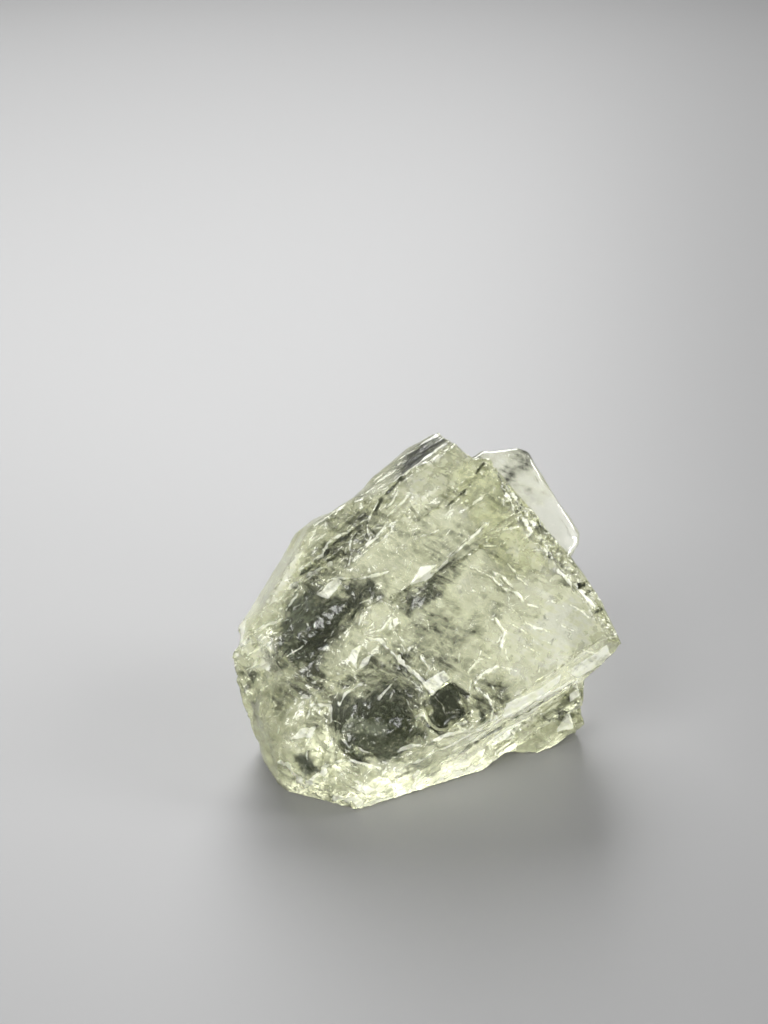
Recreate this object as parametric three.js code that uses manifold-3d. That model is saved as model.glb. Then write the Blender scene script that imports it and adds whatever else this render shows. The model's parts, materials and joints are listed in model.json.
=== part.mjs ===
// A hand specimen of pale green fluorite: one broken crystal that grew in cube-shaped layers, with a
// smaller, clearer crystal grown into its far right side. Millimetres, +Z up. The specimen rests on a
// cleaved underside at z = 0, and the origin is on that plane, under the middle of its overall box.
//
// Both crystals are shaped in crystal axes, which follow the cube's edges: u runs right and up across the
// front face, v runs left and up across it, and w comes straight out of it. w = 0 is its highest layer.
import * as THREE from "three";
import { mergeVertices } from "three/addons/utils/BufferGeometryUtils.js";
import Module from "manifold-3d";

const wasm = await Module();
wasm.setup();

// ---- Driving dimensions ---------------------------------------------------------------------------------

const CUBE_TURN = 35; // degrees that the cube's edges are turned within the front face
const FACE_LEAN = 30; // degrees that the front face leans back from upright
const FACE_HEIGHT = 14.3; // height of the front face's middle above the surface that the specimen stands on

const BACK = -15; // w of the rearmost layer
const REACH = 60; // half the size of a cutting block, well past the specimen
const CONTACT_GAP = 0.3; // room between the two crystals, which are separate solids

// The main crystal's widest outline, in u and v. The right side follows the cube; the left is a fracture.
const BODY_OUTLINE = [
  [12.7, -2.6], [11.5, 7.9], [10.3, 8.6], [9.9, 10.4], [9.6, 12.4], [6.6, 12.7],
  [3.1, 12.3], [0.6, 11.6], [-1.5, 11.5], [-3.0, 12.0], [-4.9, 11.9], [-7.9, 10.5],
  [-12.3, 8.5], [-13.3, 8.1], [-13.5, 6.9], [-14.8, 6.5], [-16.2, 3.9], [-17.4, 0.2],
  [-17.4, -3.2], [-16.0, -6.6], [-14.1, -9.3], [-11.6, -11.4], [-8.2, -12.6], [-3.0, -14.8],
  [1.6, -15.6], [5.9, -15.6], [6.3, -13.7], [7.2, -12.6], [8.1, -11.4], [11.9, -10.8],
  [12.4, -7.6], [12.7, -7.2],
];

// Growth layers left as steps down each side of the front, from the front backwards: [edge, w of the tread].
const STEPS = {
  lower: [[-11.3, -6.3], [-13.1, -8.9], [-14.9, -11.6]],
  right: [[11.0, -1.5], [11.6, -2.7], [12.1, -4.4]],
  left: [[-12.2, -1.2], [-13.6, -2.4], [-14.7, -4.0], [-15.7, -6.0]],
};
const LOWER_STEPS_START = -2.6; // u of the lower steps' left end, where one slanting face takes over

// Slanting faces that trim the front's edges: [normal, a point on the face].
const BEVELS = [
  [[0, -0.83, 0.56], [0, -9.3, -1.3]],
  [[0.05, 0.93, 0.34], [5, 10.5, -0.7]],
  [[-0.4, 0.87, 0.4], [-8, 9.0, -1.0]],
];
const STEP_REACH = 17.5; // how far the steps run each way from the middle of the front
const RUN_OVERLAP = 0.06; // how far one run of a step's edge passes into the next, so they never just touch

// Areas of the front that lie below w = 0, each with the w of its floor.
const PANEL = [
  [-1.2, -12], [14, -12], [14, 2.8], [-1.6, 2.8],
  [-2.6, 1.0], [-3.8, -1.6], [-3.9, -5.2], [-2.0, -7.4],
];
const PANEL_FLOOR = -1.2;
const UPPER_SLAB = [[3.5, 7.0], [14, 7.0], [14, 14], [1.8, 14], [1.8, 8.2], [3.5, 8.2]];
const UPPER_SLAB_FLOOR = -0.6;
const TERRACE_CORNERS = [[-10.4, 5.0], [-7.8, 6.0], [-5.6, 6.9], [-3.4, 7.9], [-0.6, 8.8], [2.4, 14]];
const TERRACE_LEVELS = 3;
const TERRACE_SHIFT = [-0.9, 0.8]; // how far each lower terrace is set back, in u and v
const TERRACE_DROP = 0.55;
const PIT = { from: [-4.4, -8.2], to: [-1.3, -5.25], floor: -3.2 }; // in the panel's near corner

// Rounded fracture surfaces: [centre, radii, turn in degrees].
const LOBE = [[-11.7, -2.8, -4.6], [6.0, 7.2, 6.2], -8];
const BOWL = [[-7.3, -4.4, 1.9], [4.5, 3.9, 3.9], 0];
const HOLLOW = [[-6.9, 5.0, 0.9], [5.3, 2.3, 2.2], 3];
const LOBE_FACES = [
  [[-0.25, -0.2, 0.95], [-12.0, -3.4, 0.9]],
  [[-0.72, -0.45, 0.52], [-15.3, -5.6, -1.2]],
  [[-0.15, -0.86, 0.48], [-11.0, -9.2, -1.2]],
  [[-0.9, 0.25, 0.35], [-16.4, 0.0, -2.6]],
]; // flats broken on the lobe: [normal, a point on the face]

// Cleavage faces cut the cube's back corners at equal angles to u, v and w: [normal, a point on the face].
const CLEAVAGES = [
  [[1, 1, -1], [6.0, 9.3, -14.2]],
  [[-1, 1, -1], [-9.0, 5.0, -12.6]],
  [[1, -1, -1], [9.4, -9.4, -13.4]],
  [[-1, -1, -1], [-12.0, -8.0, -11.0]],
];

// Steps on the back: [corner in u and v, w of the tread].
const BACK_STEPS = [[[2.6, -8.0], -14.1], [[-4.2, -1.0], -13.2], [[-9.6, 2.4], -12.1]];

// The rear crystal: a small block with rounded corners. The outline's last four corners are its hidden root.
const REAR_OUTLINE = [
  [11.6, 8.8], [14.2, 7.5], [14.8, 6.6], [14.5, -1.3], [13.9, -2.1], [12.4, -2.7],
  [8.2, -1.2], [7.4, 0.6], [7.8, 8.2], [8.6, 8.9],
];
const REAR_FRONT = -5.4;
const REAR_BACK = -13.2;
const REAR_BEVEL = 0.7;

// ---- Solids ---------------------------------------------------------------------------------------------

const rad = THREE.MathUtils.degToRad;

/** A three.js geometry as a manifold-3d solid. */
function solid(geometry) {
  geometry.deleteAttribute("normal");
  geometry.deleteAttribute("uv");
  const merged = mergeVertices(geometry, 1e-5);
  return new wasm.Manifold(
    new wasm.Mesh({
      numProp: 3,
      vertProperties: merged.attributes.position.array,
      triVerts: new Uint32Array(merged.index.array),
    }),
  );
}

/** A manifold-3d solid as a flat-shaded three.js geometry. */
function geometryOf(made) {
  const mesh = made.getMesh();
  const geometry = new THREE.BufferGeometry()
    .setAttribute("position", new THREE.BufferAttribute(mesh.vertProperties, 3))
    .setIndex(new THREE.BufferAttribute(mesh.triVerts, 1))
    .toNonIndexed();
  geometry.computeVertexNormals();
  return geometry;
}

/** A prism on an outline in u and v, between two depths. */
function prism(outline, front, back) {
  const shape = new THREE.Shape(outline.map(([u, v]) => new THREE.Vector2(u, v)));
  const geometry = new THREE.ExtrudeGeometry(shape, { depth: front - back, bevelEnabled: false });
  return solid(geometry.translate(0, 0, back));
}

/** A block from one corner to the other, in u, v and w. */
function block([u0, v0, w0], [u1, v1, w1]) {
  const geometry = new THREE.BoxGeometry(u1 - u0, v1 - v0, w1 - w0);
  return solid(geometry.translate((u0 + u1) / 2, (v0 + v1) / 2, (w0 + w1) / 2));
}

/** Everything beyond a plane through a point, on the side that the normal points to. */
function beyond(normal, through) {
  const way = new THREE.Vector3(...normal).normalize();
  const geometry = new THREE.BoxGeometry(2 * REACH, 2 * REACH, 2 * REACH).translate(0, 0, REACH);
  geometry.applyQuaternion(new THREE.Quaternion().setFromUnitVectors(new THREE.Vector3(0, 0, 1), way));
  return solid(geometry.translate(...through));
}

/** A faceted ellipsoid, for the rounded swellings and hollows that a fracture leaves. */
function lens(centre, radii, turn = 0, rings = 14) {
  const geometry = new THREE.SphereGeometry(1, 2 * rings, rings).scale(...radii);
  return solid(geometry.rotateZ(rad(turn)).translate(...centre));
}

/** Numbers from 0 to 1 that scatter evenly and are the same in every run. */
function scatter(seed) {
  let state = seed;
  return () => {
    state = (state * 16807) % 2147483647;
    return state / 2147483647;
  };
}

// ---- Main crystal ---------------------------------------------------------------------------------------

const next = scatter(29);
const jitter = (size) => (next() - 0.5) * 2 * size;

/** Cuts one growth step along a side of the front, in runs that stand a little in or out of line. */
function cutStep(body, side, edge, tread) {
  const level = side === "lower";
  const outwards = side === "right";
  const start = level ? LOWER_STEPS_START : -STEP_REACH;
  const runs = 4 + Math.floor(next() * 3);
  const runLength = (STEP_REACH - start) / runs;
  const breaks = Array.from({ length: runs + 1 }, (_, i) => start + runLength * (i + jitter(0.2)));
  for (let i = 0; i < runs; i++) {
    const at = edge + jitter(0.25);
    const floor = tread + jitter(0.2);
    const [low, high] = outwards ? [at, REACH] : [-REACH, at];
    const [from, to] = [breaks[i] - RUN_OVERLAP, breaks[i + 1] + RUN_OVERLAP];
    const near = level ? [from, low, floor] : [low, from, floor];
    const far = level ? [to, high, REACH] : [high, to, REACH];
    body = body.subtract(block(near, far));
  }
  return body;
}

/** Cuts the staircase of square-cornered terraces on the upper left of the front. */
function cutTerraces(body) {
  for (let level = 0; level < TERRACE_LEVELS; level++) {
    const [du, dv] = TERRACE_SHIFT.map((shift) => level * shift);
    const corners = TERRACE_CORNERS.map(([u, v]) => [u + du, v + dv]);
    for (let i = 0; i < corners.length - 1; i++) {
      const near = [...corners[i], -(level + 1) * TERRACE_DROP];
      body = body.subtract(block(near, [corners[i + 1][0], REACH, REACH]));
    }
  }
  return body;
}

/** The rounded swelling at the lower left, with the flats that are broken on it. */
function lobe() {
  let made = lens(...LOBE);
  for (const [normal, through] of LOBE_FACES) made = made.subtract(beyond(normal, through));
  return made;
}

/** Steps on the back, each a lower layer towards the left, seen only from behind. */
function cutBackSteps(body) {
  for (const [[u, v], w] of BACK_STEPS) {
    body = body.subtract(block([-REACH, v, -REACH], [u, REACH, w]));
  }
  return body;
}

function mainCrystal() {
  let body = prism(BODY_OUTLINE, 0, BACK);
  for (const [normal, through] of BEVELS) body = body.subtract(beyond(normal, through));
  for (const [side, steps] of Object.entries(STEPS)) {
    for (const [edge, tread] of steps) body = cutStep(body, side, edge, tread);
  }
  body = cutTerraces(body);
  body = body.subtract(prism(UPPER_SLAB, REACH, UPPER_SLAB_FLOOR));
  body = body.subtract(prism(PANEL, REACH, PANEL_FLOOR));
  body = body.subtract(lens(...HOLLOW));
  body = body.add(lobe());
  body = body.subtract(lens(...BOWL));
  body = body.subtract(block([...PIT.from, PIT.floor], [...PIT.to, REACH]));
  body = cutBackSteps(body);
  for (const [normal, through] of CLEAVAGES) body = body.subtract(beyond(normal, through));
  return body;
}

// ---- Rear crystal ---------------------------------------------------------------------------------------

/** The rear crystal's block, grown all round by a margin, so that the same shape also cuts its socket. */
function rearCrystal(margin) {
  const shape = new THREE.Shape(REAR_OUTLINE.map(([u, v]) => new THREE.Vector2(u, v)));
  const depth = REAR_FRONT - REAR_BACK - 2 * REAR_BEVEL;
  const geometry = new THREE.ExtrudeGeometry(shape, {
    depth,
    bevelSize: REAR_BEVEL,
    bevelOffset: margin - REAR_BEVEL,
    bevelThickness: REAR_BEVEL + margin,
    bevelSegments: 2,
  });
  return solid(geometry.translate(0, 0, REAR_BACK + REAR_BEVEL));
}

// ---- Assembly -------------------------------------------------------------------------------------------

/** Crystal axes to the specimen's own frame: turn the cube within its face, then lean the face back. */
const axes = new THREE.Matrix4()
  .makeTranslation(0, 0, FACE_HEIGHT)
  .multiply(new THREE.Matrix4().makeRotationX(rad(90 - FACE_LEAN)))
  .multiply(new THREE.Matrix4().makeRotationZ(rad(CUBE_TURN)));

/** Stands a solid in the specimen's own frame and cuts it off flat at z = 0. */
function stand(made) {
  const below = solid(new THREE.BoxGeometry(2 * REACH, 2 * REACH, REACH).translate(0, 0, -REACH / 2));
  return solid(geometryOf(made).applyMatrix4(axes)).subtract(below);
}

/** A crystal as a named mesh with its own material. */
function crystal(name, made, color, roughness) {
  const material = new THREE.MeshStandardMaterial({ color, roughness, metalness: 0 });
  const mesh = new THREE.Mesh(geometryOf(made), material);
  mesh.name = name;
  return mesh;
}

const specimen = new THREE.Group();
const socketed = mainCrystal().subtract(rearCrystal(CONTACT_GAP));
specimen.add(crystal("main_crystal", stand(socketed), 0xc7caab, 0.2));
specimen.add(crystal("rear_crystal", stand(rearCrystal(0)), 0xdcdccb, 0.1));

const middle = new THREE.Box3().setFromObject(specimen).getCenter(new THREE.Vector3());
specimen.position.set(-middle.x, -middle.y, 0);

export default specimen;
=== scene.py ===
# %% [markdown]
# # A fluorite hand specimen
# Fluorite is a soft, glassy mineral that grows in cubes and splits along flat planes. This specimen is a
# broken, pale green crystal with a smaller, clearer one grown into its right side. The lesson takes the two
# plain solids of the frame, gives each its growth steps, fractures and chips, and then its glassy, cloudy
# look.

# %% Load the frame
import json
import math

import bpy
import numpy as np
from mathutils import Matrix, Vector, noise

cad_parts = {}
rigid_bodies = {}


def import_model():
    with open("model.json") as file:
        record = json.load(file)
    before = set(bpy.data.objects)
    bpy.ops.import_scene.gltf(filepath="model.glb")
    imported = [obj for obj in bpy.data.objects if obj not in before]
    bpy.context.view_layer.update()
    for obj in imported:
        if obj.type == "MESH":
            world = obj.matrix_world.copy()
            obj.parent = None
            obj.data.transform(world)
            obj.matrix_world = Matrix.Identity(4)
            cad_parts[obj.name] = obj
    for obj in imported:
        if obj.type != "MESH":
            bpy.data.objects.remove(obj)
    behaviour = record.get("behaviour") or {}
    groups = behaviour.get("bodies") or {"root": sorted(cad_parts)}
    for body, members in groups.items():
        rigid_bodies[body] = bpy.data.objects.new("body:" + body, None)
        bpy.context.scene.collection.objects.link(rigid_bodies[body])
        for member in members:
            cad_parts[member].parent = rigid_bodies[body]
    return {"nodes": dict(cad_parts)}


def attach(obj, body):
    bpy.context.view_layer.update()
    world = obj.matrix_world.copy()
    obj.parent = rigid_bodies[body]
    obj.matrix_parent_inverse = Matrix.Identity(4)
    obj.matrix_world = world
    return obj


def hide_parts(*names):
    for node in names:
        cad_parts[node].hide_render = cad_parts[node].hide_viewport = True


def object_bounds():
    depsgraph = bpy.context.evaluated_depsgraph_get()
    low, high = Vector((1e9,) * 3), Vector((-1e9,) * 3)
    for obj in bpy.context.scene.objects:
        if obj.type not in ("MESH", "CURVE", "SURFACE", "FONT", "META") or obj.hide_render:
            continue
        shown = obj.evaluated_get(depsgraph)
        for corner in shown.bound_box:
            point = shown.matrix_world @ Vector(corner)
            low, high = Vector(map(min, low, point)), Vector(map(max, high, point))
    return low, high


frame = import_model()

CAD_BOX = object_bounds()
print("frame nodes:", sorted(frame["nodes"]))
print("frame box in mm:", [[round(1000 * c, 1) for c in corner] for corner in CAD_BOX])

# %% [markdown]
# ## Crystal axes
# All the flat faces of a cube-shaped crystal follow three directions. It is far easier to shape the stone
# with its cube upright and then turn it back, so the lesson works in crystal axes, in millimetres: u runs
# right and up across the front face, v left and up across it, and w straight out of it.

# %% Crystal axes
CUBE_TURN = math.radians(35)
FACE_LEAN = math.radians(30)
MM = 0.001
FACE_MIDDLE = Vector(CAD_BOX[0]) + Vector((15.852, 6.982, 14.3)) * MM

FROM_CRYSTAL = (
    Matrix.Translation(FACE_MIDDLE)
    @ Matrix.Rotation(math.pi / 2 - FACE_LEAN, 4, "X")
    @ Matrix.Rotation(CUBE_TURN, 4, "Z")
    @ Matrix.Scale(MM, 4)
)
TO_CRYSTAL = FROM_CRYSTAL.inverted()
print("the front face's middle is", [round(c / MM, 2) for c in FACE_MIDDLE], "mm")


# %% [markdown]
# ## Tools for the bench
# Three small helpers are used on both crystals. One takes a merged copy of a frame solid and turns it into
# crystal axes. One reads a mesh's points as an array, and one writes them back after they have been moved.

# %% Copy a solid into crystal axes
def activate(piece):
    for thing in bpy.context.view_layer.objects:
        thing.select_set(False)
    piece.select_set(True)
    bpy.context.view_layer.objects.active = piece


def copy_solid(node, name):
    piece = bpy.data.objects.new(name, frame["nodes"][node].data.copy())
    bpy.context.scene.collection.objects.link(piece)
    piece.data.transform(TO_CRYSTAL)
    piece.data.materials.clear()
    activate(piece)
    bpy.ops.mesh.customdata_custom_splitnormals_clear()
    bpy.ops.object.mode_set(mode="EDIT")
    bpy.ops.mesh.select_all(action="SELECT")
    bpy.ops.mesh.remove_doubles(threshold=0.002)
    bpy.ops.object.mode_set(mode="OBJECT")
    print(name, "starts with", len(piece.data.polygons), "faces")
    return piece


def points(piece, what="co"):
    values = np.empty(len(piece.data.vertices) * 3, np.float32)
    piece.data.vertices.foreach_get(what, values)
    return values.reshape(-1, 3).astype(float)


def move_points(piece, places):
    piece.data.vertices.foreach_set("co", places.astype(np.float32).ravel())
    piece.data.update()


# %% [markdown]
# ## A fine skin
# A crystal's surface is covered in relief far smaller than the frame's solid. The Remesh modifier rebuilds
# the solid as an even grid of small faces. The cube is upright here, so the grid lies along its faces, and
# every edge stays straight. The front is cut three times finer, because it holds the finest lines and
# steps.

# %% Even skin
SKIN = 0.33  # mm, the size of a grid cell on the main crystal
REAR_SKIN = 0.2


def remesh(piece, size):
    activate(piece)
    skin = piece.modifiers.new("even_skin", "REMESH")
    skin.mode = "VOXEL"
    skin.voxel_size = size
    bpy.ops.object.modifier_apply(modifier=skin.name)
    print(piece.name, "has", len(piece.data.polygons), "faces after the remesh")


def refine_front(piece, lowest, steepest):
    activate(piece)
    mesh = piece.data
    for part in (mesh.vertices, mesh.edges, mesh.polygons):
        part.foreach_set("select", [False] * len(part))
    for face in mesh.polygons:
        face.select = face.normal.z > steepest and face.center.z > lowest
    bpy.ops.object.mode_set(mode="EDIT")
    bpy.ops.mesh.select_mode(type="FACE")
    bpy.ops.mesh.subdivide(number_cuts=2)
    bpy.ops.object.mode_set(mode="OBJECT")
    print(piece.name, "has", len(piece.data.polygons), "faces after the front is refined")


FRONT_REACHES_BACK = -12  # w of the lowest face that still counts as front
FRONT_LEANS = 0.5  # least share of a front face's normal that points along w

main = copy_solid("main_crystal", "main_fluorite")
remesh(main, SKIN)
refine_front(main, FRONT_REACHES_BACK, FRONT_LEANS)

# %% [markdown]
# ## What kind of surface each point is on
# Three kinds of surface meet on the stone. Growth faces follow the cube. Cleavages cut its corners at an
# equal slant to u, v and w, and three smooth bevels trim the front. All the rest is fracture, which is
# rounded and rough. A point's normal tells which kind it is on, so each kind can be given its own relief.
# The flat underside is left alone, because the stone stands on it.

# %% Kinds of surface
def ramp(values, low, high):
    t = np.clip((values - low) / (high - low), 0, 1)
    return t * t * (3 - 2 * t)


def height_in_frame(places):
    matrix = np.array(FROM_CRYSTAL)
    return (places @ matrix[2, :3] + matrix[2, 3]) / MM


SMOOTH_BEVELS = np.array([[0, -0.83, 0.56], [0.05, 0.93, 0.34], [-0.4, 0.87, 0.4]])


def kinds(piece):
    normals = points(piece, "normal")
    sizes = np.abs(normals)
    growth = ramp(sizes.max(1), 0.93, 0.985)
    slant = 1 - ramp(np.abs(sizes - 0.577).max(1), 0.05, 0.12)
    slant = np.maximum(slant, ramp((normals @ SMOOTH_BEVELS.T).max(1), 0.95, 0.985))
    free = ramp(height_in_frame(points(piece)), 0.1, 0.9)
    return normals, growth, slant, (1 - growth) * (1 - slant), free


normals, growth, slant, fracture, free = kinds(main)
print("share of growth, cleavage and fracture:", [kind.mean().round(2) for kind in (growth, slant, fracture)])

# %% [markdown]
# ## Smooth the broken hollows
# The lobe and the hollows came from a solid with flat facets. The Smooth modifier melts those facets away.
# A vertex group keeps it to the fractures, so that no growth face loses its straight edges.

# %% Smooth the fractures
def vertex_group(piece, name, weights):
    group = piece.vertex_groups.new(name=name)
    steps = np.round(weights * 10).astype(int)
    for step in range(1, 11):
        chosen = np.nonzero(steps == step)[0]
        group.add(chosen.tolist(), step / 10, "REPLACE")
    return group


LOBE_MIDDLE = np.array([-9.8, -3.6, -1.5])
at = points(main)
near_lobe = 1 - ramp(np.linalg.norm((at - LOBE_MIDDLE) / [9.0, 8.6, 7.0], axis=1), 0.85, 1.05)
near_hollow = 1 - ramp(np.linalg.norm((at - [-6.9, 5.0, 0]) / [6.0, 2.9, 3.0], axis=1), 0.85, 1.05)
broken = np.clip(near_lobe + near_hollow, 0, 1) * free
vertex_group(main, "broken", broken * (1 - growth * 0.7))
activate(main)
melt = main.modifiers.new("melt_facets", "SMOOTH")
melt.vertex_group = "broken"
melt.factor = 0.6
melt.iterations = 14
bpy.ops.object.modifier_apply(modifier=melt.name)
normals, growth, slant, fracture, free = kinds(main)
print("smoothed", int((broken > 0.5).sum()), "points of the lobe and the hollows")

# %% [markdown]
# ## A map of the front
# The front carries marks that are easy to tell apart: ridges and bruises painted white, which is partly crushed
# stone and partly painted highlight; clear windows painted dark, as painted shade; and broad areas that are
# paler or greener, a few of them painted light and painted shade. They are laid out here in u and v, like a
# drawing on tracing paper.
# Each kind is kept as a distance in millimetres to the nearest mark, so the same drawing can shape the mesh
# and, saved on its points as an attribute, colour it with edges sharper than the mesh.

# %% Distances to lines and outlines
def to_line(flat, line):
    """Distance from each place to a line of straight stretches."""
    nearest = np.full(len(flat), 9.0)
    for start, end in zip(np.array(line[:-1], float), np.array(line[1:], float)):
        along = end - start
        t = np.clip(((flat - start) @ along) / (along @ along), 0, 1)
        nearest = np.minimum(nearest, np.linalg.norm(flat - start - t[:, None] * along, axis=1))
    return nearest


def into_outline(flat, outline):
    """Distance into a closed outline, and less than 0 outside it."""
    inside = np.zeros(len(flat), bool)
    for (u0, v0), (u1, v1) in zip(outline, outline[1:] + outline[:1]):
        if v0 != v1:
            across = (v0 > flat[:, 1]) != (v1 > flat[:, 1])
            inside ^= across & (flat[:, 0] < u0 + (flat[:, 1] - v0) * (u1 - u0) / (v1 - v0))
    return to_line(flat, outline + outline[:1]) * np.where(inside, 1, -1)


def noise_at(places, scale, octaves=3, seed=0):
    shift = Vector((seed * 13.7, seed * 7.1, seed * 3.3))
    return np.array([noise.fractal(Vector(p) / scale + shift, 0.9, 2.1, octaves) for p in places])


# %% Bright ridges and bruises, partly painted highlight
# The white of these marks is partly real, crushed and frosted stone, and partly painted highlight: ridges and
# step edges that catch the light.
RIDGES = [  # half width, then the line
    (0.11, [(9.3, 11.0), (7.2, 10.9), (5.1, 10.5)]),
    (0.10, [(4.6, 9.0), (2.1, 8.6), (1.8, 8.1), (0.0, 7.6), (-1.7, 7.6), (-2.0, 8.1), (-1.5, 8.6)]),
    (0.07, [(3.9, 9.8), (3.0, 9.3), (2.3, 9.2)]),
    (0.09, [(2.1, 10.0), (0.8, 9.3), (-1.4, 9.4), (-2.8, 9.6), (-4.6, 8.9)]),
    (0.07, [(0.8, 9.3), (0.3, 8.9), (-0.1, 8.2), (0.6, 8.3), (1.1, 8.1)]),
    (0.06, [(0.8, 9.9), (-0.1, 9.8), (-0.8, 9.5)]),
    (0.07, [(-0.5, 8.0), (-0.4, 8.4), (-0.8, 8.9), (-1.6, 8.7), (-3.0, 8.9)]),
    (0.06, [(-2.0, 7.8), (-2.7, 7.1), (-3.2, 6.8)]),
    (0.08, [(-6.6, 9.0), (-4.6, 9.05), (-3.2, 9.5), (-1.6, 9.45)]),
    (0.07, [(-8.6, 7.7), (-6.4, 8.05), (-4.6, 8.1)]),
    (0.08, [(-4.8, 2.6), (-3.9, 3.4), (-2.2, 3.2), (-1.6, 2.0), (-3.4, 1.3), (-4.6, 1.7)]),
    (0.14, [(-7.5, 7.5), (-9.0, 6.9)]),
    (0.15, [(-7.9, 8.3), (-5.7, 8.3), (-3.9, 8.0)]),
    (0.11, [(8.2, 3.6), (4.7, 3.0), (1.6, 2.6)]),
    (0.12, [(-14.4, 6.6), (-10.7, 6.8), (-9.7, 6.6)]),
    (0.13, [(-6.0, 6.7), (-4.8, 7.0), (-3.6, 6.3), (-2.9, 5.8), (-1.5, 5.2), (-0.6, 4.9)]),
    (0.20, [(-5.0, 1.7), (-4.1, 0.7), (-3.6, -1.8), (-3.1, -3.9), (-3.1, -5.3)]),
    (0.11, [(-3.0, -5.6), (-2.9, -6.6), (-3.1, -7.1), (-2.2, -7.7)]),
    (0.11, [(-5.2, -6.0), (-4.6, -6.1), (-4.5, -6.8), (-4.7, -7.6)]),
    (0.07, [(-5.0, -4.4), (-5.2, -5.8), (-5.6, -6.6)]),
    (0.11, [(-2.8, -8.5), (-2.1, -8.5), (-1.8, -9.1), (-2.4, -9.2), (-2.8, -8.5)]),
    (0.12, [(0.1, -6.8), (0.5, -8.1), (0.2, -9.1), (-0.4, -9.6)]),
    (0.16, [(0.3, -6.4), (1.1, -6.2), (2.4, -6.3)]),
    (0.11, [(0.3, -5.4), (1.6, -5.0), (2.5, -5.5)]),
    (0.12, [(4.6, -3.0), (4.5, -3.6), (4.6, -4.4), (3.6, -5.2)]),
    (0.08, [(-2.1, -2.0), (-2.2, -2.7), (-2.1, -3.4), (-2.6, -3.7)]),
    (0.16, [(-6.9, -3.2), (-4.5, -2.6)]),
    (0.17, [(-9.6, -1.7), (-8.7, -1.3), (-7.0, -1.5)]),
    (0.14, [(-13.5, -5.1), (-12.0, -5.4), (-11.1, -6.1), (-9.8, -7.7)]),
    (0.30, [(-16.3, -3.0), (-15.7, -3.4), (-15.7, -5.6), (-14.6, -5.4), (-13.6, -5.5)]),
    (0.13, [(-12.4, -1.3), (-11.4, -0.5), (-10.2, -1.3), (-10.9, -2.5)]),
    (0.15, [(-7.9, -7.4), (-3.0, -8.9), (-1.3, -10.0), (3.4, -10.4), (7.0, -10.9)]),
    (0.12, [(-8.8, -8.6), (-3.5, -9.6), (0.0, -9.8)]),
    (0.20, [(-9.1, -11.1), (-7.9, -10.0), (-7.4, -9.8)]),
    (0.07, [(7.1, 2.2), (7.9, 1.7), (8.6, 1.5)]),
    (0.08, [(5.3, 1.3), (6.1, 0.0), (6.4, -1.3), (7.1, -2.4), (7.2, -3.2)]),
    (0.06, [(6.9, -0.8), (7.2, -2.5)]),
    (0.07, [(9.2, 0.4), (10.1, -0.2), (11.0, -0.9)]),
    (0.07, [(9.1, 2.4), (10.3, 1.9)]),
    (0.22, [(10.9, -2.8), (11.4, -5.0), (11.8, -6.9)]),
    (0.35, [(-14.0, -7.7), (-12.6, -9.5), (-10.0, -10.9), (-3.3, -12.4)]),
]
# The bruises are partly crushed white stone, and those along the lower band are painted light, as if it were
# lit from inside the stone.
WHITE_AND_LIT_PATCHES = [
    [(-6.3, 6.6), (-5.6, 5.8), (-4.0, 6.2), (-4.3, 6.7)],
    [(3.1, 3.1), (1.5, 2.6), (0.4, 2.9), (1.9, 3.7)],
    [(-2.9, -4.1), (-1.2, -4.2), (-1.2, -5.0), (-3.1, -5.4)],
    [(-7.0, 0.7), (-6.4, 1.3), (-5.5, 1.2), (-6.5, 0.4), (-6.9, -0.2)],
    [(-6.8, -0.3), (-6.0, 0.2), (-5.3, 0.1), (-5.9, -0.4)],
    [(-14.4, -1.8), (-13.2, -1.6), (-12.0, -2.2), (-13.0, -2.6)],
    [(-3.1, 0.9), (-2.5, 1.5), (-1.9, 1.4), (-2.0, 0.9)],
    [(5.7, -12.8), (5.0, -14.6), (3.6, -14.0)],
    [(7.4, -10.9), (6.9, -12.4), (5.9, -12.4), (6.7, -11.3)],
    [(-12.6, -7.6), (-11.9, -8.8), (-11.0, -9.0), (-11.8, -8.0)],
    [(-13.0, 8.4), (-12.2, 8.2), (-13.2, 7.0), (-14.6, 6.4), (-14.4, 6.9)],
    [(0.4, -10.2), (1.4, -9.2), (4.0, -9.7), (6.4, -9.8), (6.0, -10.3), (2.4, -10.4)],
    [(7.0, -9.9), (10.8, -10.0), (10.7, -11.2), (7.4, -10.9)],
    [(-1.8, -11.2), (0.4, -11.0), (2.2, -11.3), (0.2, -12.2)],
]
print("the front has", len(RIDGES), "ridges and", len(WHITE_AND_LIT_PATCHES), "bruises")

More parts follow.
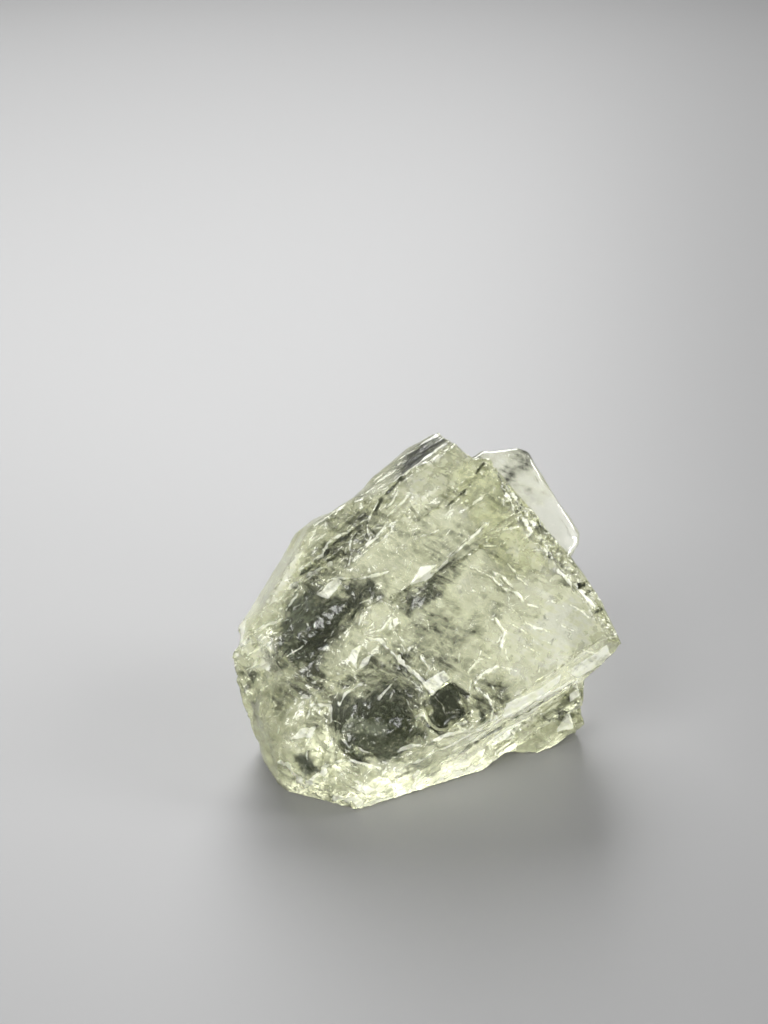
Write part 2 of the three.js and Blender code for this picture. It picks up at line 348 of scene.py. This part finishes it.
# %% Dark windows and slits, painted shade
# Windows and slits are clear stone, sunk a little into the mesh. Their dark colour is painted shade, standing
# for a dark ground seen through the stone.
WINDOWS = [  # how crisp the edge is, then the outline
    (0.7, [(-6.0, 8.0), (-9.0, 7.0), (-11.2, 5.4), (-12.0, 3.8), (-11.0, 2.6), (-8.6, 2.2), (-6.4, 3.0),
           (-4.4, 3.4), (-2.3, 3.8), (-1.4, 4.9), (-3.0, 5.6), (-3.9, 6.1), (-5.6, 5.8), (-6.3, 6.6)]),
    (0.6, [(-9.8, -1.0), (-7.6, -2.2), (-6.6, -1.9), (-5.6, -2.4), (-4.8, -3.8), (-5.0, -6.1), (-5.5, -7.6),
           (-8.3, -8.0), (-10.9, -6.4), (-11.8, -4.6), (-11.0, -2.4)]),
    (4.0, [(-3.2, -5.4), (-1.2, -5.3), (-0.6, -6.9), (-1.7, -7.1), (-1.9, -8.3), (-3.2, -7.9), (-4.5, -8.6),
           (-4.8, -6.9), (-3.7, -6.5), (-3.7, -5.5)]),
    (0.6, [(9.7, 12.2), (9.5, 11.2), (7.2, 11.1), (4.9, 10.7), (5.4, 11.4), (7.4, 12.4)]),
    (2.0, [(-15.0, 4.9), (-14.1, 4.6), (-14.0, 3.7), (-15.6, 3.5)]),
    (2.0, [(-15.0, -3.0), (-13.7, -3.5), (-13.9, -5.1), (-15.1, -4.9)]),
    (2.0, [(-0.2, -7.6), (-0.3, -8.6), (-0.8, -9.4), (-1.3, -9.2), (-1.0, -8.4)]),
    (1.0, [(-0.6, 2.5), (1.4, 2.3), (2.2, 1.9), (0.8, 1.2), (-0.8, 1.4)]),
]
SLITS = [
    (0.08, [(10.8, 7.7), (9.8, 7.4)]),
    (0.07, [(9.3, 7.0), (8.1, 6.7)]),
    (0.06, [(8.1, 6.7), (6.4, 6.5)]),
    (0.09, [(4.6, 10.5), (2.1, 9.85), (1.2, 9.3)]),
    (0.10, [(-6.4, 8.7), (-4.4, 8.75), (-3.0, 9.2), (-1.2, 9.15), (0.4, 9.05)]),
    (0.08, [(-7.6, 8.2), (-6.2, 8.3), (-4.8, 8.4)]),
    (0.07, [(-4.0, 8.3), (-2.6, 8.4), (-2.4, 7.7)]),
    (0.06, [(-1.2, 8.8), (0.2, 8.7), (0.4, 8.0)]),
    (0.10, [(11.2, -4.7), (12.4, -4.9)]),
    (0.08, [(11.4, -5.6), (12.4, -5.7)]),
    (0.08, [(11.6, -7.3), (12.4, -7.4)]),
    (0.06, [(-0.3, -10.7), (1.2, -10.6), (4.0, -11.0)]),
    (0.10, [(-3.9, -10.6), (-1.8, -10.6), (0.2, -10.8)]),
]
print("and", len(WINDOWS), "dark windows and", len(SLITS), "slits")

# %% Pale and darker areas, a few of them painted light and painted shade
# Most areas are the stone's own tone; a few are painted light and painted shade, marked below.
TONE_LIGHT_AND_SHADE_AREAS = [  # centre, radii, turn in degrees, how much paler
    ((6.5, -6.5), (6.5, 3.4), -10, 0.24),
    ((10.0, -2.0), (2.6, 6.0), 0, 0.14),
    ((-1.2, -1.2), (3.8, 3.6), 0, -0.22),
    ((-3.0, -3.6), (2.6, 2.4), 0, -0.15),
    ((-7.6, 0.6), (4.2, 2.6), 0, -0.14),
    ((7.6, 1.4), (3.2, 1.8), -5, 0.06),
    # painted shade: the recess under the long step
    ((3.0, 1.9), (4.5, 1.0), 8, -0.26),
    ((6.0, 8.8), (4.2, 2.0), 5, 0.18),
    ((-1.6, 8.5), (5.6, 1.7), 8, -0.28),
    ((7.3, 11.4), (2.7, 0.75), 8, -0.45),
    ((4.0, 11.7), (2.6, 0.8), 12, 0.10),
    ((-8.5, 9.6), (5.6, 1.4), 22, 0.42),
    ((-13.2, 5.6), (2.2, 2.4), 30, 0.38),
    ((-14.8, 1.5), (1.8, 1.6), 0, -0.10),
    ((-11.6, 1.2), (3.2, 1.8), 0, -0.22),
    ((-10.6, -1.6), (3.0, 1.4), 20, -0.20),
    # painted light: the lower band, as if lit from inside the stone
    ((2.2, -10.9), (7.5, 1.2), -2, 0.34),
    ((5.6, -11.9), (2.3, 0.6), -6, -0.34),
    ((4.4, -12.8), (1.9, 0.8), -30, -0.38),
    ((-2.5, -10.5), (5.0, 0.5), -4, -0.18),
    ((-4.0, -12.2), (8.0, 1.2), -10, 0.12),
    ((1.0, -8.0), (1.9, 1.5), 0, -0.32),
    ((-3.1, 2.4), (1.6, 1.1), -20, 0.16),
    ((-5.5, -1.6), (3.6, 1.8), 10, -0.14),
    ((-4.4, -4.4), (1.9, 1.5), 0, -0.24),
    ((-9.5, 1.2), (3.0, 1.6), 10, -0.12),
    ((9.2, -6.5), (3.0, 2.6), 0, 0.16),
]
print("and", len(TONE_LIGHT_AND_SHADE_AREAS), "broad areas")

# %% Hairline fractures
def hairlines(rng, count, middle, spread, length, angle, fan):
    """Short, slightly bent lines round a middle, at about one angle in degrees."""
    made = []
    for _ in range(count):
        start = np.array(middle) + rng.normal(0, 1, 2) * spread
        way = math.radians(angle + rng.normal(0, fan))
        reach = length * rng.uniform(0.4, 1.3)
        step = np.array([math.cos(way), math.sin(way)]) * reach / 2
        bend = np.array([-step[1], step[0]]) * rng.normal(0, 0.10)
        made.append((rng.uniform(0.015, 0.045), [start - step, start + bend, start + step]))
    return made


chance = np.random.default_rng(17)
# Hairlines are painted pale: partly real frosted feathers, partly painted highlight where a crack inside the
# stone reflects the light.
HAIRS = (
    hairlines(chance, 16, (6.8, -1.8), (1.7, 2.0), 1.4, -62, 16)
    + hairlines(chance, 14, (1.2, -7.6), (1.2, 1.1), 1.2, -60, 25)
    + hairlines(chance, 12, (-0.5, -3.5), (2.6, 2.6), 0.9, 45, 20)
    + hairlines(chance, 22, (-2.5, -10.3), (5.5, 0.5), 2.4, -5, 4)
    + hairlines(chance, 20, (-1.5, 8.4), (3.0, 0.7), 1.1, 8, 12)
    + hairlines(chance, 6, (-8.6, 4.3), (1.6, 0.7), 0.5, 70, 30)
    + hairlines(chance, 8, (-8.2, -5.0), (1.9, 1.5), 0.5, 10, 50)
    + hairlines(chance, 12, (-12.6, -2.2), (1.6, 2.4), 0.9, 45, 30)
    + hairlines(chance, 20, (-13.2, 5.3), (1.3, 1.4), 1.6, 8, 8)
    + hairlines(chance, 26, (11.2, 2.5), (0.7, 4.2), 0.6, -45, 50)
    + hairlines(chance, 16, (-12.0, -7.6), (0.9, 0.9), 1.6, -62, 5)
    + hairlines(chance, 8, (3.5, 5.0), (3.0, 1.2), 1.2, 5, 10)
    + hairlines(chance, 26, (8.0, -5.6), (2.4, 1.8), 1.5, -62, 9)
)
print("and", len(HAIRS), "hairlines")

# %% [markdown]
# ## Read the drawing at every point
# Each point of the front finds its distance into the nearest white mark, partly painted highlight, and the
# nearest dark one, painted shade. A noise is added first, because nothing on a broken stone has a ruled edge.
# The back and the sides hold none of the drawing.

# %% Read the drawing
at = points(main)
flat = at[:, :2] + np.stack([0.04 * noise_at(at, 0.8, 3, 8), 0.04 * noise_at(at, 0.8, 3, 9)], 1)
front = ramp(normals[:, 2], 0.15, 0.4) * ramp(at[:, 2], -10.5, -9.5)
uneven = 1 + 1.5 * noise_at(at, 0.6, 2, 10)

ridge_line = np.max([0.6 * half * uneven - to_line(flat, line) for half, line in RIDGES], axis=0)
hair_line = np.max([half * uneven - to_line(flat, line) for half, line in HAIRS], axis=0)
white_and_lit_patch = np.max([into_outline(flat, outline) for outline in WHITE_AND_LIT_PATCHES], axis=0)
ragged = 0.9 * noise_at(at, 1.1, 4, 11)
clear = np.max([crisp * into_outline(flat, outline) for crisp, outline in WINDOWS], axis=0) + 0.6 * ragged
slit = np.max([half * uneven - to_line(flat, line) for half, line in SLITS], axis=0)

# paler holds the stone's tone and, in a few areas, painted light and painted shade.
paler = np.zeros(len(at))
for middle, radii, turn, much in TONE_LIGHT_AND_SHADE_AREAS:
    c, s = math.cos(math.radians(turn)), math.sin(math.radians(turn))
    du, dv = (flat - middle).T
    far = np.hypot((c * du + s * dv) / radii[0], (c * dv - s * du) / radii[1])
    paler += much * (1 - ramp(far + 0.25 * ragged, 0.55, 1.15))
dark_share = float((clear > 0)[front > 0.5].mean())
print("dark windows cover", round(dark_share * 100), "percent of the front's points")

# %% [markdown]
# ## Growth steps
# A cube grows in thin layers that stop short of each other, so its faces carry square-cornered steps.
# Chance blocks make them: the face is cut into uneven strips both ways, each cell of the grid gets a
# height, and the heights are rounded to whole layers. A slope added first makes the layers run down to one
# side.

# %% Chance blocks and layers
def strips(values, size, rng):
    edges = np.cumsum(rng.uniform(0.45, 1.55, int(80 / size)) * size) - 36
    middles = np.concatenate([edges[:1], (edges[1:] + edges[:-1]) / 2, edges[-1:]])
    index = np.searchsorted(edges, values)
    return index, middles[index]


def layered(a, b, size_a, size_b, slope_a, slope_b, wander, seed):
    """Whole layers, counted up along the slopes, with square-cornered edges that wander."""
    rng = np.random.default_rng(seed)
    index_a, middle_a = strips(a, size_a, rng)
    index_b, middle_b = strips(b, size_b, rng)
    chance = rng.uniform(-1, 1, (index_a.max() + 1, index_b.max() + 1))
    rise = middle_a * slope_a + middle_b * slope_b + chance[index_a, index_b] * wander
    return np.floor(rise)


TERRACES = [
    (4.6, 8.8), (1.4, 10.2), (-3.0, 9.9), (-7.2, 8.9), (-9.8, 7.0),
    (-8.8, 6.4), (-5.6, 6.6), (-2.0, 7.2), (1.4, 7.5),
]


def front_steps(at):
    u, v = at[:, 0], at[:, 1]
    terraces = ramp(into_outline(at[:, :2], TERRACES), -0.15, 0.25)
    along = v - 7.6 - 0.2 * u
    staircase = np.clip(layered(u, along, 0.95, 0.42, 0.1, 1.1, 0.8, 7), -2, 4) + 2
    plates = np.abs(layered(u, v, 2.8, 1.3, 0.02, 0.10, 0.7, 12))
    bands = (layered(v, u, 0.30, 6.0, 0.9, 0.02, 0.9, 21) % 3) * (1 - ramp(v, -10.4, -9.2))
    left = layered(v - 0.15 * u, u, 0.36, 2.2, 0.9, 0.02, 0.9, 25) % 3
    left = left * (1 - ramp(u, -12.6, -11.2)) * ramp(v, 2.0, 3.2)
    return 0.09 * staircase * terraces + 0.03 * plates + 0.07 * bands + 0.08 * left


def side_steps(at, normals):
    u, v, w = at.T
    to_u = np.abs(normals[:, 0]) ** 8
    to_v = np.abs(normals[:, 1]) ** 8
    on_u = layered(w, v, 0.45, 2.6, 0.5, 0.05, 0.9, 41) % 3
    on_v = layered(w, u, 0.45, 3.4, 0.5, 0.05, 0.9, 42) % 3
    return 0.09 * on_u * to_u + 0.05 * on_v * to_v


facing = ramp(normals[:, 2], 0.45, 0.8) * (1 - 0.75 * broken) * free
stepped = facing * front_steps(at)
print("deepest growth step:", round(float(stepped.max()), 2), "mm")

# %% [markdown]
# ## Fractures and chips
# Where the stone broke across its grain it is shell-shaped: small tilted facets and a fine roughness. The
# right margin is crusted with tiny broken blocks. Sharp edges on a mineral as soft as this are always
# chipped, so points on an edge are pushed in by a patchy noise. The windows are left calmer, since only a
# smooth skin lets the eye in.

# %% Fractures and chips
def facets(places, size, seed):
    """Height of small planes, one in each cell, that each tilt their own way."""
    shift = Vector((seed * 5.3, seed * 2.9, seed * 8.1))
    heights = []
    for p in places:
        q = Vector(p) / size + shift
        middle = noise.voronoi(q)[1][0]
        tilt = noise.cell_vector(middle * 3.1).dot(q - middle)
        heights.append(tilt - 0.5 * (q - middle).dot(Vector((1, 1, 1))))
    return np.array(heights)


rough = np.clip(fracture + 0.7 * broken, 0, 1) * free
spots = np.nonzero(rough > 0.02)[0]
relief = np.zeros(len(at))
relief[spots] = 0.42 * facets(at[spots], 1.9, 3) + 0.20 * facets(at[spots], 0.75, 5)
relief[spots] += 0.14 * noise_at(at[spots], 1.2, 4, 2)

margin = 1 - ramp(np.hypot((at[:, 0] - 11.4) / 1.25, (at[:, 1] - 2.0) / 6.2) + 0.3 * ragged, 0.7, 1.1)
margin *= front * free
crust = np.nonzero(margin > 0.02)[0]
relief[crust] += margin[crust] * (0.45 * facets(at[crust], 0.55, 6) + 0.3 * facets(at[crust], 1.1, 7))

edge = np.clip(1 - growth - slant, 0, 1) * (1 - broken) * free
chipping = np.zeros(len(at))
on_edge = np.nonzero(edge > 0.02)[0]
chipping[on_edge] = np.clip(noise_at(at[on_edge], 0.6, 3, 9) + 0.05, 0, 1)
undulation = (0.10 * noise_at(at, 3.2, 2, 4) + 0.05 * noise_at(at, 1.1, 2, 15)) * free
calm = 1 - 0.5 * front * ramp(clear, -0.6, 0.3)
weight = np.where(margin > 0.02, 1, rough * (1 - 0.8 * edge))
push = calm * weight * relief + undulation - 0.55 * edge * chipping
print("roughened", len(spots), "points, crusted", len(crust), "and chipped", len(on_edge))

# %% Press the marks into the front
raised = 0.12 * ramp(ridge_line, -0.11, 0.03) + 0.05 * ramp(white_and_lit_patch, -0.05, 0.1)
raised = raised + 0.01 * ramp(hair_line, -0.06, 0.03)
sunk = 0.12 * ramp(clear, -0.5, 1.0) + 0.20 * ramp(slit, -0.06, 0.06)
at += (push - free * side_steps(at, normals))[:, None] * normals
at[:, 2] += front * free * (raised - sunk) - stepped
move_points(main, at)
print("ridges stand up to", round(float(raised.max()), 2), "mm proud")

# %% Save the marks on the points
def save(piece, name, values):
    layer = piece.data.attributes.new(name, "FLOAT", "POINT")
    layer.data.foreach_set("value", values.astype(np.float32))


SLIT_CLARITY = 6  # a slit is narrow, so its mark rises faster than a window's
crumbs = noise_at(at, 0.42, 2, 12)
# The white mark is partly crushed white stone and partly painted highlight.
white_and_glint = np.maximum(np.maximum(ridge_line, white_and_lit_patch), hair_line)
white_and_glint = np.maximum(white_and_glint, 0.5 * (crumbs - 0.15) - 0.6 * (1 - margin))
white_and_glint = np.where(front > 0.3, np.clip(white_and_glint, -1, 1), -1)
# The clear mark later paints the windows and slits near-black, as painted shade.
clear = np.maximum(np.maximum(clear, SLIT_CLARITY * slit), 0.5 * (-crumbs - 0.32) - 0.6 * (1 - margin))
clear = np.where(front > 0.3, np.clip(clear, -1, 1), -1)
save(main, "white_and_glint", white_and_glint)
save(main, "clear", clear)
paler = paler * front + 0.25 * margin
save(main, "paler", paler)
milky = paler + 0.5 * noise_at(at, 0.5, 2, 16) - 0.2
print("saved", [layer.name for layer in main.data.attributes if layer.data_type == "FLOAT"])

# %% [markdown]
# ## The rear crystal
# The smaller crystal is clearer and its corners are rounded, as if it had been partly dissolved. Its root
# sits in a socket of the main crystal. The root is swollen a little, so that it almost fills the socket
# without touching it, and the gap hardly shows.

# %% Rear crystal
rear = copy_solid("rear_crystal", "rear_fluorite")
remesh(rear, REAR_SKIN)
at = points(rear)
normals = points(rear, "normal")
root = 1 - ramp(at[:, 0], 11.6, 12.8)
growth = ramp(np.abs(normals).max(1), 0.93, 0.985)
steps = layered(at[:, 0] + at[:, 1], at[:, 2], 1.2, 1.0, 0.1, 0.1, 0.8, 51) % 2
at += (0.12 * root + 0.09 * noise_at(at, 1.9, 4, 6) - 0.05 * steps * growth)[:, None] * normals
move_points(rear, at)
rear_paler = 0.60 * (1 - ramp(at[:, 1], 1.6, 3.4)) - 0.12 * ramp(at[:, 1], 4.4, 5.6) + 0.05
for v, w in ((6.6, -6.4), (5.6, -7.0), (7.4, -8.5), (-0.6, -7.2)):
    rear_paler -= 0.4 * np.exp(-((at[:, 1] - v) ** 2 + (at[:, 2] - w) ** 2) / 0.5)
save(rear, "paler", rear_paler)
save(rear, "white_and_glint", np.full(len(at), -1.0))
save(rear, "clear", np.full(len(at), -1.0))
print("the rear crystal has", len(at), "points")

# %% [markdown]
# ## Turn the stone back
# With the shaping done, each mesh is turned and scaled from crystal axes into the frame, in metres. Nothing
# may sink below the surface that the stone stands on, so low points are lifted to it. Smooth shading by
# angle keeps the steps crisp and the hollows soft.

# %% Stand up
SMOOTH_BELOW = math.radians(24)


def stand_up(piece):
    piece.data.transform(FROM_CRYSTAL)
    places = points(piece)
    places[:, 2] = np.maximum(places[:, 2], CAD_BOX[0][2])
    move_points(piece, places)
    piece.vertex_groups.clear()
    activate(piece)
    bpy.ops.object.shade_smooth_by_angle(angle=SMOOTH_BELOW)


for piece in (main, rear):
    stand_up(piece)
    print(piece.name, "stands, with", len(piece.data.polygons), "faces")

# %% [markdown]
# ## Stone colour
# The two crystals and the marks on them share one recipe, so it is a node group. It works in crystal axes,
# and so its veins and streaks follow the growth layers through the stone. A single number, paleness, runs
# from dark green to cream. Clouds, streaks and veins are added to it, and then the saved marks are laid
# over it: near-black on the windows, which is painted shade, and cream on the white marks, which is partly
# crushed stone and partly painted highlight.

# %% Small node helpers
def node(tree, kind, links=(), **settings):
    """A node with its settings, and its inputs linked or set: (input, value or socket)."""
    made = tree.nodes.new(kind)
    for name, value in settings.items():
        setattr(made, name, value)
    for name, value in links:
        if isinstance(value, bpy.types.NodeSocket):
            tree.links.new(value, made.inputs[name])
        else:
            made.inputs[name].default_value = value
    return made


def calc(tree, operation, first, second, third=None):
    links = [(0, first), (1, second)] + ([] if third is None else [(2, third)])
    return node(tree, "ShaderNodeMath", links, operation=operation).outputs[0]


def soft_step(tree, value, low, high, to_low=0.0, to_high=1.0):
    links = [("Value", value), ("From Min", low), ("From Max", high), ("To Min", to_low), ("To Max", to_high)]
    return node(tree, "ShaderNodeMapRange", links, interpolation_type="SMOOTHSTEP").outputs["Result"]


def blend_colour(tree, share, first, second, kind="MIX"):
    made = node(tree, "ShaderNodeMix", data_type="RGBA", blend_type=kind)
    for place, value in ((0, share), (6, first), (7, second)):
        if isinstance(value, bpy.types.NodeSocket):
            tree.links.new(value, made.inputs[place])
        else:
            made.inputs[place].default_value = value
    return made.outputs[2]


def clouds(tree, vector, size, detail, stretch=(1, 1, 1), turn=0, wander=0.0):
    links = [("Vector", vector), ("Rotation", (0, 0, math.radians(turn))), ("Scale", stretch)]
    placed = node(tree, "ShaderNodeMapping", links, vector_type="TEXTURE").outputs["Vector"]
    links = [("Vector", placed), ("Scale", 1 / size), ("Detail", detail)]
    links += [("Roughness", 0.6), ("Distortion", wander)]
    return calc(tree, "SUBTRACT", node(tree, "ShaderNodeTexNoise", links).outputs["Fac"], 0.5)


# %% The stone colour group
stone = bpy.data.node_groups.new("stone colour", "ShaderNodeTree")
starts = {"Paleness": 0.5, "Cloudiness": 1.0, "Greenness": 1.0, "Bright": -1.0, "Clear": -1.0}
for label, start in starts.items():
    stone.interface.new_socket(label, in_out="INPUT", socket_type="NodeSocketFloat").default_value = start
stone.interface.new_socket("Vector", in_out="INPUT", socket_type="NodeSocketVector")
for label, kind in (("Colour", "NodeSocketColor"), ("White and glint mask", "NodeSocketFloat"), ("Window", "NodeSocketFloat"),
                    ("Cloud", "NodeSocketFloat"), ("Height", "NodeSocketFloat")):
    stone.interface.new_socket(label, in_out="OUTPUT", socket_type=kind)
given, out = stone.nodes.new("NodeGroupInput"), stone.nodes.new("NodeGroupOutput")
vector = given.outputs["Vector"]

broad = clouds(stone, vector, 3.4, 4, wander=0.5)
middling = clouds(stone, vector, 1.1, 5, wander=0.8)
fine = clouds(stone, vector, 0.35, 4)
along_u = clouds(stone, vector, 0.5, 3, stretch=(6, 1, 1))
along_v = clouds(stone, vector, 0.5, 3, stretch=(1, 6, 1))
feathers = clouds(stone, vector, 0.4, 3, stretch=(5, 1, 5), turn=-62, wander=0.4)
bent = node(stone, "ShaderNodeVectorMath", [(0, vector), (1, node(stone, "ShaderNodeTexNoise",
    [("Vector", vector), ("Scale", 0.7), ("Detail", 3.0)]).outputs["Color"])], operation="ADD").outputs[0]
vein_net = node(stone, "ShaderNodeTexVoronoi", [("Vector", bent), ("Scale", 0.42)], feature="DISTANCE_TO_EDGE")
vein = soft_step(stone, vein_net.outputs["Distance"], 0.03, 0.0)

varied = given.outputs["Paleness"]
parts = ((1.3, broad), (0.65, middling), (0.25, fine), (0.6, along_u), (0.4, along_v), (1.2, feathers))
for amount, part in parts:
    cloudy = calc(stone, "MULTIPLY", part, given.outputs["Cloudiness"])
    varied = calc(stone, "MULTIPLY_ADD", cloudy, amount, varied)
varied = calc(stone, "MULTIPLY_ADD", vein, 0.16, varied)

palette = node(stone, "ShaderNodeValToRGB", [("Fac", varied)])
palette.color_ramp.elements[0].position = 0.0
palette.color_ramp.elements[0].color = (0.05, 0.052, 0.036, 1)
palette.color_ramp.elements[1].position = 1.0
palette.color_ramp.elements[1].color = (0.96, 0.97, 0.82, 1)
shades = ((0.25, (0.38, 0.395, 0.27, 1)), (0.50, (0.80, 0.82, 0.57, 1)), (0.75, (0.92, 0.935, 0.69, 1)))
for position, colour in shades:
    palette.color_ramp.elements.new(position).color = colour

rough_edge = calc(stone, "MULTIPLY_ADD", fine, 0.16, given.outputs["Bright"])
white_and_glint_mask = soft_step(stone, rough_edge, -0.04, 0.05)
# The window mask lays painted shade: a near-black green, standing for a dark ground seen through the clear
# stone.
frayed = calc(stone, "MULTIPLY_ADD", middling, 2.2, given.outputs["Clear"])
frayed = calc(stone, "MULTIPLY_ADD", fine, 0.6, frayed)
through_shade_mask = soft_step(stone, frayed, -0.60, 0.45)
speckle = soft_step(stone, fine, 0.02, 0.22)
painted_through_shade = blend_colour(stone, speckle, (0.020, 0.023, 0.016, 1), (0.14, 0.15, 0.11, 1))
links = [("Saturation", given.outputs["Greenness"]), ("Color", palette.outputs["Color"])]
plain = node(stone, "ShaderNodeHueSaturation", links)
colour = blend_colour(stone, through_shade_mask, plain.outputs["Color"], painted_through_shade)
# The white mask lays cream: crushed white stone, and painted highlight on the ridges, hairlines and lower band.
white_and_glint_share = calc(stone, "MULTIPLY", white_and_glint_mask, soft_step(stone, middling, -0.14, 0.12, 0.2, 0.9))
colour = blend_colour(stone, white_and_glint_share, colour, (0.96, 0.97, 0.86, 1))
height = calc(stone, "MULTIPLY_ADD", middling, 0.6, fine)
results = {"Colour": colour, "White and glint mask": white_and_glint_mask, "Window": through_shade_mask, "Cloud": middling, "Height": height}
for label, value in results.items():
    stone.links.new(value, out.inputs[label])
print("the stone colour group has", len(stone.nodes), "nodes")

# %% [markdown]
# ## Five finishes
# Fluorite is glass-like, with a low refractive index, but minute cracks and bubbles scatter the light
# inside it. So each finish is part glass and part milky: Transmission Weight sets the share. The body and
# the rear crystal are mostly glass, the windows nearly all glass, and the bruises, which are partly crushed
# white stone and partly painted highlight, mostly milky. The palest stone lies between the body and the
# bruises. Since the share is one plain number for a material, each finish is a material of its own.

# %% Build the finishes
FLUORITE_IOR = 1.434
PALENESS = 0.50


def finish(name, glass, coat, dull, paleness, cloudiness, greenness):
    material = bpy.data.materials.new(name)
    material.use_nodes = True
    tree = material.node_tree
    shader = tree.nodes["Principled BSDF"]
    shader.inputs["IOR"].default_value = FLUORITE_IOR
    shader.inputs["Transmission Weight"].default_value = glass
    shader.inputs["Coat Weight"].default_value = coat
    shader.inputs["Coat Roughness"].default_value = 0.10
    location, turn, scale = TO_CRYSTAL.decompose()
    place = node(tree, "ShaderNodeMapping", [("Vector", node(tree, "ShaderNodeTexCoord").outputs["Object"]),
        ("Location", location), ("Rotation", turn.to_euler()), ("Scale", scale)]).outputs["Vector"]
    mark = {}
    for saved in ("paler", "white_and_glint", "clear"):
        mark[saved] = node(tree, "ShaderNodeAttribute", attribute_name=saved).outputs["Fac"]
    pale = calc(tree, "ADD", mark["paler"], paleness)
    look = node(tree, "ShaderNodeGroup", node_tree=stone)
    inputs = {"Vector": place, "Paleness": pale, "Bright": mark["white_and_glint"], "Clear": mark["clear"]}
    for label, value in inputs.items():
        tree.links.new(value, look.inputs[label])
    look.inputs["Cloudiness"].default_value = cloudiness
    look.inputs["Greenness"].default_value = greenness
    tree.links.new(look.outputs["Colour"], shader.inputs["Base Color"])
    matt = calc(tree, "MULTIPLY_ADD", look.outputs["Cloud"], 0.15, dull)
    matt = calc(tree, "MULTIPLY_ADD", look.outputs["White and glint mask"], 0.25, matt)
    tree.links.new(matt, shader.inputs["Roughness"])
    links = [("Strength", 0.25), ("Distance", 0.00015), ("Height", look.outputs["Height"])]
    bump = node(tree, "ShaderNodeBump", links)
    tree.links.new(bump.outputs["Normal"], shader.inputs["Normal"])
    return material


green = finish("green_stone", 0.78, 0.25, 0.16, PALENESS, 1.0, 1.0)
window_glass = finish("window_stone", 0.92, 0.1, 0.10, PALENESS, 1.0, 1.0)
bruised_stone = finish("bruised_stone", 0.35, 0.3, 0.15, PALENESS, 1.0, 1.0)
milky_stone = finish("milky_stone", 0.70, 0.25, 0.17, PALENESS, 1.0, 1.0)
pale_crystal = finish("pale_stone", 0.78, 0.4, 0.08, 0.60, 1.3, 0.6)
print("made", [material.name for material in (green, window_glass, bruised_stone, milky_stone, pale_crystal)])

# %% [markdown]
# ## Which face has which finish
# The marks saved on the points decide it, so the finishes change along the same lines as the relief.
# Bruises win over windows, because crushed stone hides what is below it; the bruises carry painted
# highlight too. The edge of the palest stone is broken up with a noise, so that the change from the body's
# finish to it doesn't show as a line.

# %% Give each face its finish
BRUISE_STARTS, WINDOW_STARTS = -0.01, 0.02  # mm into the mark
for material in (green, window_glass, bruised_stone, milky_stone):
    main.data.materials.append(material)
rear.data.materials.append(pale_crystal)
BODY, WINDOW, BRUISE, MILKY = range(4)  # places in the stone's list of finishes
finish_of = [BODY] * len(main.data.polygons)
for face in main.data.polygons:
    corners = list(face.vertices)
    if white_and_glint[corners].mean() > BRUISE_STARTS:
        finish_of[face.index] = BRUISE
    elif clear[corners].mean() > WINDOW_STARTS:
        finish_of[face.index] = WINDOW
    elif milky[corners].mean() > 0:
        finish_of[face.index] = MILKY
main.data.polygons.foreach_set("material_index", finish_of)
print("faces of body, window, bruise and milky:", [finish_of.count(index) for index in range(4)])

# %% [markdown]
# ## A place to look at it
# A plain pale floor carries a clear stone's shadow and shows through it. Large lamps give soft reflections:
# one behind lights the stone through, a small one at the right picks out the steps, the strongest lights
# the front from high on the left, and one low down at the right reaches the faces that lean forward. The
# camera stands square to the front face, which leans back, so it looks down on the stone.

# %% Floor, light and camera
bpy.ops.mesh.primitive_plane_add(size=3, location=(0, 0.6, -0.00002))
floor = bpy.context.object
floor.name = "floor"
paper = bpy.data.materials.new("pale_floor")
paper.use_nodes = True
paper.node_tree.nodes["Principled BSDF"].inputs["Base Color"].default_value = (0.20, 0.20, 0.20, 1)
floor.data.materials.append(paper)

world = bpy.data.worlds.new("studio")
world.use_nodes = True
world.node_tree.nodes["Background"].inputs["Color"].default_value = (0.55, 0.56, 0.58, 1)
world.node_tree.nodes["Background"].inputs["Strength"].default_value = 0.12
bpy.context.scene.world = world


def lamp(name, place, size, power):
    light = bpy.data.lights.new(name, "AREA")
    light.size = size
    light.energy = power
    thing = bpy.data.objects.new(name, light)
    thing.location = place
    thing.rotation_euler = (FACE_MIDDLE - Vector(place)).to_track_quat("-Z", "Y").to_euler()
    bpy.context.scene.collection.objects.link(thing)


lamp("back_light", (-0.06, 0.26, 0.20), 0.24, 1.5)
lamp("side_light", (0.30, 0.02, 0.22), 0.14, 0.8)
lamp("front_light", (-0.20, -0.28, 0.34), 0.22, 1.95)
lamp("low_light", (0.30, -0.24, 0.05), 0.16, 1.5)
bpy.context.scene.view_settings.view_transform = "Standard"

VIEW_ELEVATION = math.radians(30)
VIEW_DISTANCE = 0.1593
LOOK_LEFT, LOOK_UP = 0.00352, 0.00848  # from the face's middle to the middle of the view
toward = Vector((0, -math.cos(VIEW_ELEVATION), math.sin(VIEW_ELEVATION)))
up = Vector((0, math.sin(VIEW_ELEVATION), math.cos(VIEW_ELEVATION)))
aim = FACE_MIDDLE - Vector((LOOK_LEFT, 0, 0)) + up * LOOK_UP
camera = bpy.data.objects.new("camera", bpy.data.cameras.new("camera"))
camera.data.lens = 70
camera.data.clip_start = 0.01
camera.location = FACE_MIDDLE + toward * VIEW_DISTANCE
camera.rotation_euler = (aim - camera.location).to_track_quat("-Z", "Y").to_euler()
bpy.context.scene.collection.objects.link(camera)
bpy.context.scene.camera = camera
print("the camera stands", round(VIEW_DISTANCE / MM), "mm from the front face")

# %% Attach the crystals and hide the frame solids
for piece, solid, slot in ((main, "main_crystal", "green_fluorite"), (rear, "rear_crystal", "clear_fluorite")):
    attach(piece, "root")
    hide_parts(solid)
